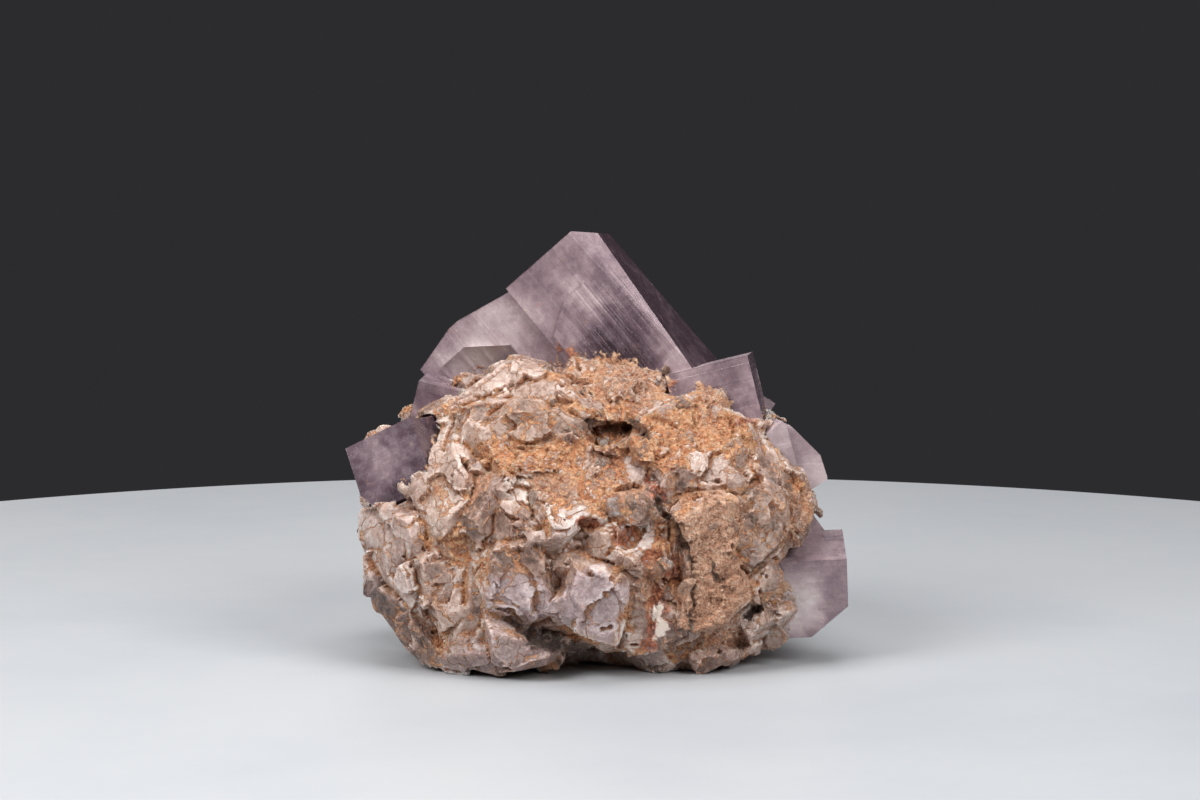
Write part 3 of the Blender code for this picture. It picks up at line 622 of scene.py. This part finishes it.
def rock_finish(name, clear):
    """Stone from smoky to white and lilac, under stains of ochre, with sand and red pits, painted shade in hollows,
    creases, pits and cracks, and a painted highlight on raised edges.
    """
    shader = Shader(name)
    stain, orange, plum, pale, deep, sand, rust, dark, bright, hollow, edge, crease, chip = (
        shader.attribute(mask) for mask in (*MASKS, *MARK_MASKS, "hollow", "edge", "crease", "chip")
    )
    broad = shader.clouds(6.0, detail=4.0, roughness=0.55, distortion=0.8)
    cloud = shader.clouds(2.2, detail=6.0, roughness=0.62, distortion=0.6)
    fine = shader.clouds(0.7, detail=4.0, roughness=0.65)
    grain = shader.clouds(0.28, detail=3.0, roughness=0.6)
    veins = shader.span(shader.cells(3.6, "DISTANCE_TO_EDGE", at=shader.wavy(2.0, 2.2)), 0.05, 0.0)

    light = shader.total((broad, 0.20), (cloud, 0.20), (fine, 0.12), (chip, 0.12), (pale, 0.30), (deep, -0.26))
    wisps = shader.span(shader.noise(1.6, detail=9.0, roughness=0.72, distortion=1.6), 0.40, 0.66)
    # Raised edges are made lighter: painted highlight.
    light = shader.total((light, 1.0), (edge, 0.14), (wisps, 0.26), (grain, 0.08), (0.5, 0.20))
    stone = shader.ramp(
        light, (0.05, (70, 53, 44)), (0.28, (120, 95, 82)), (0.48, (158, 131, 117)), (0.70, (188, 164, 151)),
        (1.00, (220, 206, 198)),
    )
    lilac = shader.ramp(
        light, (0.05, (70, 58, 62)), (0.28, (118, 101, 105)), (0.50, (156, 138, 141)), (0.72, (186, 170, 173)),
        (1.00, (218, 209, 211)),
    )
    stone = shader.mix(plum, stone, lilac)

    # The ochre is lighter on raised edges too: painted highlight.
    crust_tone = shader.total((fine, 0.5), (cloud, 0.3), (grain, 0.3), (edge, 0.20), (chip, 0.05))
    warm = shader.ramp(
        crust_tone, (0.10, (104, 64, 45)), (0.34, (166, 112, 84)), (0.60, (204, 149, 117)), (0.88, (230, 194, 167)),
    )
    hot = shader.ramp(
        crust_tone, (0.10, (110, 62, 38)), (0.34, (182, 112, 72)), (0.60, (214, 148, 101)), (0.88, (234, 190, 148)),
    )
    heat = shader.span(shader.total((orange, 0.8), (broad, 0.6), (fine, 0.2)), 0.60, 1.05)
    ochre = shader.mix(heat, warm, hot)
    cover = shader.total((stain, 1.0), (hollow, 0.6), (crease, 0.8), (cloud, 0.55), (fine, 0.30), (veins, 0.50))
    cover = shader.total((cover, 1.0), (edge, -0.20), (dark, -0.6), (bright, -0.8))
    covered = shader.span(cover, 0.84, 1.20)
    colour = shader.mix(covered, stone, ochre)

    speck = shader.clouds(0.22, detail=1.0)
    sandstone = shader.ramp(
        shader.total((grain, 0.4), (fine, 0.3), (speck, 0.2), (broad, 0.2)),
        (0.14, (96, 64, 50)), (0.32, (176, 124, 96)), (0.56, (214, 162, 130)), (0.85, (238, 206, 182)),
    )
    colour = shader.mix(shader.calc("MULTIPLY", sand, 0.9), colour, sandstone)

    # Painted shade: darker brown in hollows and creases.
    shade = shader.span(shader.total((hollow, 1.0), (crease, 0.35)), 0.30, 1.00, 0.0, 0.55)
    colour = shader.mix(shade, colour, paint(58, 38, 28))
    dirt = shader.calc("MULTIPLY", shader.span(grain, 0.72, 0.95), shader.span(cloud, 0.30, 0.7))
    colour = shader.mix(shader.calc("MULTIPLY", dirt, 0.60), colour, paint(84, 56, 42))
    ragged = shader.total((cloud, 0.35), (fine, 0.35), (0.5, -0.7))
    red = shader.ramp(fine, (0.10, (86, 36, 22)), (0.45, (152, 74, 46)), (0.85, (206, 128, 90)))
    colour = shader.mix(shader.span(shader.total((rust, 1.0), (ragged, 1.9)), 0.20, 0.90, 0.0, 0.80), colour, red)
    # Painted shade: the pits and cracks of the dark marks are coloured near black.
    black = shader.span(shader.total((dark, 1.0), (ragged, 1.9)), 0.30, 1.10, 0.0, 0.80)
    colour = shader.mix(black, colour, paint(58, 40, 32))
    colour = shader.mix(shader.span(shader.total((bright, 1.0), (ragged, 1.6)), 0.30, 0.90), colour,
                        paint(228, 214, 202))

    solid = shader.calc("MAXIMUM", covered, shader.calc("MAXIMUM", sand, shade))
    glassy = shader.calc("SUBTRACT", 1.0, shader.calc("MAXIMUM", solid, black), clamp=True)
    rough = shader.total((glassy, -0.88), (1.0, 1.0))
    relief = shader.bump(shader.calc("MULTIPLY", fine, rough), 0.20)
    relief = shader.bump(shader.calc("MULTIPLY", grain, rough), 0.16, relief)
    shader.set(
        Base_Color=colour,
        Roughness=shader.total((glassy, -0.60), (fine, 0.14), (0.80, 1.0)),
        Normal=relief,
        Subsurface_Weight=shader.total((glassy, STONE_GLOW), (0.1, 1.0)),
        Subsurface_Radius=STONE_GLOW_RADIUS,
        Subsurface_Scale=MM,
    )
    if clear:
        shader.set(IOR=QUARTZ_IOR, Transmission_Weight=shader.calc("MULTIPLY", glassy, clear))
        shader.absorb(CHIP_TINT, CHIP_DENSITY)
    return shader.material


def welded_copy(node, name):
    """A new object with a CAD node's mesh, its split points joined."""
    bm = bmesh.new()
    bm.from_mesh(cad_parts[node].data)
    bmesh.ops.remove_doubles(bm, verts=bm.verts, dist=0.002 * MM)
    mesh = bpy.data.meshes.new(name)
    bm.to_mesh(mesh)
    bm.free()
    return link(bpy.data.objects.new(name, mesh))


def apply_modifiers(obj):
    graph = bpy.context.evaluated_depsgraph_get()
    mesh = bpy.data.meshes.new_from_object(obj.evaluated_get(graph))
    obj.modifiers.clear()
    obj.data = mesh


def remesh(obj, voxel):
    modifier = obj.modifiers.new("remesh", "REMESH")
    modifier.mode = "VOXEL"
    modifier.voxel_size = voxel * MM
    apply_modifiers(obj)


def remeshed(node, name, voxel):
    """A CAD solid as an even mesh of small faces."""
    obj = welded_copy(node, name)
    remesh(obj, voxel)
    return obj


def thin_out(obj, share):
    """Joins the smallest, flattest faces until a share of them is left."""
    modifier = obj.modifiers.new("decimate", "DECIMATE")
    modifier.ratio = share
    apply_modifiers(obj)
    points, _ = points_of(obj.data)
    move_points(obj.data, within_box(points))


def within_box(points):
    """The points, none of them outside the solids' own box."""
    return np.clip(points, *(np.array(corner) / MM for corner in cad_box))


def drop_loose_bits(mesh):
    """Deletes everything that isn't joined to the largest body of the mesh."""
    bm = bmesh.new()
    bm.from_mesh(mesh)
    unseen = set(bm.verts)
    bodies = []
    while unseen:
        body = {unseen.pop()}
        rim = set(body)
        while rim:
            rim = {edge.other_vert(vertex) for vertex in rim for edge in vertex.link_edges} & unseen
            unseen -= rim
            body.update(rim)
        bodies.append(body)
    bodies.sort(key=len)
    bmesh.ops.delete(bm, geom=[vertex for body in bodies[:-1] for vertex in body], context="VERTS")
    bm.to_mesh(mesh)
    bm.free()


def area_of(mesh):
    return sum(face.area for face in mesh.polygons) / MM ** 2


def add_rock():
    """The rock: the CAD solid as an even fine mesh, broken into facets and roughened, with its stone kinds."""
    rock = remeshed("matrix", "rock", ROCK_VOXEL)
    mesh = rock.data
    draw = np.random.default_rng(ROCK_SEED)
    points, normals = points_of(mesh)
    pairs = edges_of(mesh)
    area = area_of(mesh)
    kinds = kinds_of_rock(points, normals, area, draw)
    kinds = spread_over(kinds, pairs, 1)
    rough = kinds[:, 6]
    broad = unit(spread_over(normals, pairs, 6))
    points = spread_over(points, pairs, ROCK_SMOOTHING)
    points, large = break_facets(points, broad, LARGE_FACETS, area, 1.0, draw)
    points, small = break_facets(points, broad, SMALL_FACETS, area, rough ** 2, draw)
    marks = marks_on(points, normals)
    depth = sum(mark.depth * marks_of for mark, marks_of in zip(MARKS, marks))
    points = points - broad * depth[:, None]
    level = points[:, 2] < 0.05
    points[level, 2] = 0.0
    move_points(mesh, within_box(points))
    points, normals = points_of(mesh)
    # How hollow or raised each point lies. The finish puts stain and painted shade in hollows and creases, and on
    # raised edges a painted highlight with thinner stain from wear.
    hollow = np.maximum(hollows_of(points, normals, pairs, 14), 0.0)
    near = hollows_of(points, normals, pairs, 2) * EDGE_GAIN
    for index, name in enumerate(MASKS):
        give(mesh, name, kinds[:, index])
    for name in MARK_MASKS:
        give(mesh, name, np.max([share for mark, share in zip(MARKS, marks) if mark.mask == name], axis=0))
    give(mesh, "hollow", hollow)
    give(mesh, "edge", np.clip(-near, 0.0, 1.0))
    give(mesh, "crease", np.clip(near, 0.0, 1.0))
    give(mesh, "chip", draw.uniform(-1, 1, large.max() + 1)[large])
    stone = rock_finish("rock", 0.0)
    mesh.materials.clear()
    mesh.materials.append(stone)
    drop_loose_bits(mesh)
    thin_out(rock, ROCK_KEPT)
    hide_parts("matrix")
    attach(rock, "root")
    foot = crust_on_crystals(points, draw)
    marked = np.max(marks, axis=0)
    glass = rock_finish("glassy_chips", CHIP_CLEARNESS)
    add_scatter("stone_chips", points, normals, kinds, marked, area, glass, draw)
    add_scatter("crust_grains", points, normals, kinds, marked, area, stone, draw, foot)


def away_from(path, across, up):
    """How far each place lies from a path of straight stretches."""
    places = np.stack((across, up), axis=1)
    nearest_yet = np.linalg.norm(places - path[0], axis=1)
    for start, end in zip(np.array(path[:-1]), np.array(path[1:])):
        stretch = end - start
        share = np.clip((places - start) @ stretch / (stretch @ stretch), 0.0, 1.0)
        nearest_yet = np.minimum(nearest_yet, np.linalg.norm(places - start - share[:, None] * stretch, axis=1))
    return nearest_yet


def marks_on(points, normals):
    """How strongly each mark shows at each point, from 0 to 1, with ragged edges."""
    places = jostled(jostled(points, 2.0, 0.9), 0.7, 0.4)
    on_front = (points[:, 1] < FRONT_DEPTH) & (normals[:, 1] < 0.35)
    shares = []
    for mark in MARKS:
        share = np.clip(1.4 - away_from(mark.path, places[:, 0], places[:, 2]) / mark.half, 0.0, 1.0)
        shares.append(share * on_front)
    return shares


def crust_on_crystals(rock_points, draw):
    """Places and normals on the crystals close to the rock, fewer with height, where crust has grown on them."""
    tree = KDTree(len(rock_points))
    for index, point in enumerate(rock_points):
        tree.insert(point, index)
    tree.balance()
    places, normals = [], []
    for node in GROWTH:
        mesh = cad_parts[node].data
        mesh.calc_loop_triangles()
        for triangle in mesh.loop_triangles:
            corners = np.array([mesh.vertices[index].co for index in triangle.vertices]) / MM
            for _ in range(draw.poisson(triangle.area / MM ** 2 / 100 * CRUST_ON_CRYSTALS)):
                share = draw.dirichlet((1.0, 1.0, 1.0))
                place = share @ corners
                away = tree.find(place)[2]
                if draw.random() < 1 - away / CRUST_REACH:
                    places.append(place)
                    normals.append(triangle.normal)
    return np.array(places), np.array(normals)


def chip_shape(wear, draw):
    """The points and triangles of one chip: a block about one across, with corners broken off and edges worn."""
    bm = bmesh.new()
    bmesh.ops.create_cube(bm, size=1.0, matrix=Matrix.Diagonal((*CHIP_BLOCK, 1.0)))
    for corner in product((-1, 1), repeat=3):
        outward = unit(np.array(corner) + draw.normal(0, 0.45, 3))
        reach = draw.uniform(0.26, 0.62)
        cut = bmesh.ops.bisect_plane(
            bm, geom=[*bm.verts, *bm.edges, *bm.faces], plane_co=outward * reach, plane_no=outward, clear_outer=True
        )
        rim = [item for item in cut["geom_cut"] if isinstance(item, bmesh.types.BMEdge)]
        if rim:
            bmesh.ops.holes_fill(bm, edges=rim)
    if wear:
        bmesh.ops.bevel(bm, geom=bm.edges, offset=wear, segments=1, affect="EDGES", clamp_overlap=True)
    bmesh.ops.triangulate(bm, faces=bm.faces)
    bm.verts.index_update()
    places = np.array([vertex.co for vertex in bm.verts])
    faces = np.array([[vertex.index for vertex in face.verts] for face in bm.faces])
    bm.free()
    return places, faces


def turns_along(normals, tilt, draw):
    """Turns that lay chips along a surface, each spun and tilted its own way."""
    up = unit(normals + draw.normal(0, tilt, normals.shape))
    side = unit(np.cross(up, draw.normal(0, 1, normals.shape)))
    return np.stack((side, np.cross(up, side), up), axis=2)


def add_scatter(name, points, normals, kinds, marked, area, finish, draw, extra=None):
    """Many small closed chips in one piece, sunk into the rock, each with the stone kind of its place."""
    scatter = SCATTERS[name]
    count = int(scatter.per_cm2 * area / 100)
    places = draw.choice(len(points), count, replace=False)
    crusty = kinds[places, MASKS.index("stain")] + kinds[places, MASKS.index("sand")]
    if scatter.kinds:
        wanted = (crusty > draw.uniform(0.2, 0.6, count)) & (marked[places] < 0.2)
    else:
        wanted = crusty > draw.uniform(0.3, 0.8, count)
    places = places[(points[places, 2] > scatter.sizes[1]) & wanted]
    bases, outward, masks = points[places], normals[places], kinds[places, :len(MASKS)]
    if extra is not None:
        bases = np.concatenate((bases, extra[0]))
        outward = np.concatenate((outward, extra[1]))
        masks = np.concatenate((masks, np.tile(KINDS["ochre"][:len(MASKS)], (len(extra[0]), 1))))
    count = len(bases)
    sizes = scatter.sizes[0] + (scatter.sizes[1] - scatter.sizes[0]) * draw.random(count) ** 2
    stretch = draw.uniform(0.7, 1.2, (count, 3)) * sizes[:, None]
    turns = turns_along(outward, scatter.tilt, draw)
    centres = bases + outward * (draw.uniform(*scatter.out, count) * sizes)[:, None]
    if scatter.kinds:
        picks = np.array([KINDS[kind] for kind in scatter.kinds])[draw.integers(0, len(scatter.kinds), count)]
        masks = (masks + picks[:, :len(MASKS)]) / 2
    shapes = [chip_shape(scatter.wear, draw) for _ in range(CHIP_SHAPES)]
    corners, triangles, owners, total = [], [], [], 0
    for number in range(count):
        shape_points, shape_faces = shapes[number % CHIP_SHAPES]
        corners.append(shape_points * stretch[number] @ turns[number].T + centres[number])
        triangles.append(shape_faces + total)
        owners.append(np.full(len(shape_points), number))
        total += len(shape_points)
    corners = within_box(np.concatenate(corners))
    owners = np.concatenate(owners)
    mesh = bpy.data.meshes.new(name)
    mesh.from_pydata(corners * MM, [], np.concatenate(triangles))
    piece = link(bpy.data.objects.new(name, mesh))
    for index, mask in enumerate(MASKS):
        give(mesh, mask, masks[owners, index])
    give(mesh, "edge", draw.uniform(0.0, 0.25, count)[owners])
    give(mesh, "chip", draw.uniform(-1, 1, count)[owners])
    mesh.materials.append(finish)
    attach(piece, "root")


def crystal_finish(node):
    """Cloudy fluorite: clear depths and milky zones, growth lines, and crust where it meets the rock."""
    look = CRYSTAL_LOOKS[node]
    shader = Shader("fluorite_" + node)
    own = shader.turned(*GROWTH[node][0])
    lines = shader.clouds(1.0, detail=4.0, roughness=0.7, at=shader.scaled(own, (0.03, 1.5, 1.5)))
    zones = shader.clouds(1.0, detail=3.0, at=shader.scaled(own, (0.02, 0.25, 0.25)))
    cloud = shader.clouds(7.0, detail=6.0, roughness=0.6, distortion=0.9)
    fine = shader.clouds(1.1, detail=5.0, roughness=0.65)
    masks = {name: 0.0 for name in ("milk", "lines", "crust", "rust")}
    for spot in look.spots:
        masks[spot.mask] = shader.total((masks[spot.mask], 1.0), (shader.spot(spot), spot.strength))

    lined = shader.calc("MULTIPLY", shader.total((masks["lines"], 1.0), (0.12, 1.0)), lines)
    milk = shader.total((cloud, 0.17), (zones, 0.07), (fine, 0.07), (masks["milk"], 1.0), (look.milk, 1.0))
    milk = shader.total((milk, 1.0), (lined, 0.24), (masks["lines"], -0.10))
    # Painted shade: the face turned toward the look's side direction gets less milk, so it comes out darker.
    side = shader.add("ShaderNodeVectorMath", operation="DOT_PRODUCT")
    shader.feed(side.inputs[0], shader.add("ShaderNodeTexCoord").outputs["Normal"])
    side.inputs[1].default_value = look.dark_side
    dark = shader.span(side.outputs["Value"], 0.80, 0.95)
    milk = shader.total((milk, 1.0), (dark, -0.40))
    colour = shader.ramp(
        milk, (0.10, (78, 60, 69)), (0.35, (124, 102, 112)), (0.60, (166, 144, 149)), (0.85, (202, 184, 185)),
        (1.00, (222, 212, 210)),
    )

    crust_tone = shader.total((fine, 0.6), (cloud, 0.4))
    ochre = shader.ramp(crust_tone, (0.15, (110, 66, 44)), (0.45, (186, 132, 98)), (0.80, (226, 190, 160)))
    rust = shader.ramp(crust_tone, (0.20, (92, 46, 32)), (0.50, (146, 80, 54)), (0.85, (196, 134, 102)))
    flecks = shader.span(shader.clouds(1.6, detail=8.0, roughness=0.8), 0.93, 1.0)
    crust = shader.span(shader.total((masks["crust"], 1.0), (fine, 0.5), (cloud, 0.25)), 0.66, 0.86)
    rusty = shader.span(shader.total((masks["rust"], 1.0), (fine, 0.5), (cloud, 0.25)), 0.66, 1.10)
    colour = shader.mix(shader.calc("MULTIPLY", flecks, 0.4), colour, paint(196, 140, 104))
    colour = shader.mix(crust, colour, ochre)
    colour = shader.mix(rusty, colour, rust)
    covered = shader.calc("MAXIMUM", crust, rusty)

    clear = shader.span(milk, 0.15, 0.85, look.clear, 0.10)
    relief = shader.bump(lined, 0.12)
    relief = shader.bump(shader.calc("MULTIPLY", fine, shader.total((covered, 0.8), (0.1, 1.0))), 0.20, relief)
    roughness = shader.total((shader.span(fine, 0.2, 0.9, 0.10, 0.34), 1.0), (covered, 0.5))
    shader.set(
        Base_Color=colour,
        Roughness=roughness,
        Transmission_Weight=shader.calc("MULTIPLY", clear, shader.calc("SUBTRACT", 1.0, covered)),
        IOR=FLUORITE_IOR,
        Normal=relief,
    )
    shader.absorb(look.tint, look.density)
    return shader.material


def distinct(items):
    """Each item once, in the order that they come."""
    return list(dict.fromkeys(items))


def strip_cuts(low, high, draw):
    """Where growth lines cross a face: random places, closer and wider, between two ends."""
    cuts = []
    place = low + draw.uniform(*GROWTH_SPACING)
    while place < high:
        cuts.append(place)
        place += draw.uniform(*GROWTH_SPACING)
    return cuts


def cut_growth(bm, axes, draw):
    """Cuts the faces that lie square to a crystal's axes along its growth lines, and steps the strips."""
    bm.faces.ensure_lookup_table()
    steps = []
    for number in range(3):
        normal = axes[number]
        across = axes[2] if number != 2 else axes[1]
        for sign in (1, -1):
            matching = [face for face in bm.faces if face.normal.dot(normal) * sign > 0.9998]
            if not matching:
                continue
            reach = [vertex.co.dot(across) / MM for face in matching for vertex in face.verts]
            cuts = strip_cuts(min(reach), max(reach), draw)
            for cut in cuts:
                for side in (-GROWTH_RAMP, GROWTH_RAMP):
                    live = [face for face in matching if face.is_valid]
                    geometry = live + distinct(edge for face in live for edge in face.edges)
                    geometry += distinct(vertex for face in live for vertex in face.verts)
                    made = bmesh.ops.bisect_plane(
                        bm, geom=geometry, plane_co=across * (cut + side) * MM, plane_no=across, dist=1e-7
                    )
                    matching = [item for item in made["geom"] if isinstance(item, bmesh.types.BMFace)]
            heights = [draw.uniform(-GROWTH_DEPTH, 0.0) for _ in range(len(cuts) + 1)]
            knots = [cut + side for cut in cuts for side in (-GROWTH_RAMP, GROWTH_RAMP)]
            levels = [height for height in heights for _ in (0, 1)][1:-1]
            steps.append((matching, normal * sign, across, knots, levels))
    for matching, outward, across, knots, levels in steps:
        if not knots:
            continue
        for vertex in distinct(vertex for face in matching if face.is_valid for vertex in face.verts):
            height = float(np.interp(vertex.co.dot(across) / MM, knots, levels))
            vertex.co += outward * height * MM


def add_crystal(node, piece_name, finish):
    """A crystal group: the CAD solid with worn edges and stepped growth lines."""
    crystal = welded_copy(node, piece_name)
    draw = np.random.default_rng(len(node))
    bm = bmesh.new()
    bm.from_mesh(crystal.data)
    bmesh.ops.dissolve_limit(bm, angle_limit=math.radians(0.6), verts=bm.verts, edges=bm.edges)
    sharp = [edge for edge in bm.edges if edge.is_convex and edge.calc_face_angle(0.0) > math.radians(20)]
    bmesh.ops.bevel(
        bm, geom=sharp, offset=EDGE_BEVEL * MM, segments=2, affect="EDGES", profile=0.6, clamp_overlap=True
    )
    bm.normal_update()
    for along, back in GROWTH[node]:
        axes = [Vector(row) for row in own_axes(along, back)]
        cut_growth(bm, axes, draw)
        bm.normal_update()
    bmesh.ops.triangulate(bm, faces=bm.faces)
    bm.to_mesh(crystal.data)
    bm.free()
    crystal.data.materials.append(finish)
    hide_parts(node)
    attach(crystal, "root")


def add_crystals():
    for node in GROWTH:
        add_crystal(node, node.replace("crystal", "cube"), crystal_finish(node))


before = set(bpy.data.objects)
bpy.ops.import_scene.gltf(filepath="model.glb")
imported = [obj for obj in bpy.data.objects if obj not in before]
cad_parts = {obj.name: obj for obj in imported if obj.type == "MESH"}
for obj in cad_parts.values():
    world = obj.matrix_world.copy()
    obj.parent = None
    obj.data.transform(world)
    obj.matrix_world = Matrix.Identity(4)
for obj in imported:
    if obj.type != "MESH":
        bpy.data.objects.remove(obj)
cad_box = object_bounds()
add_camera()
add_lights()
add_table()
add_rock()
add_crystals()
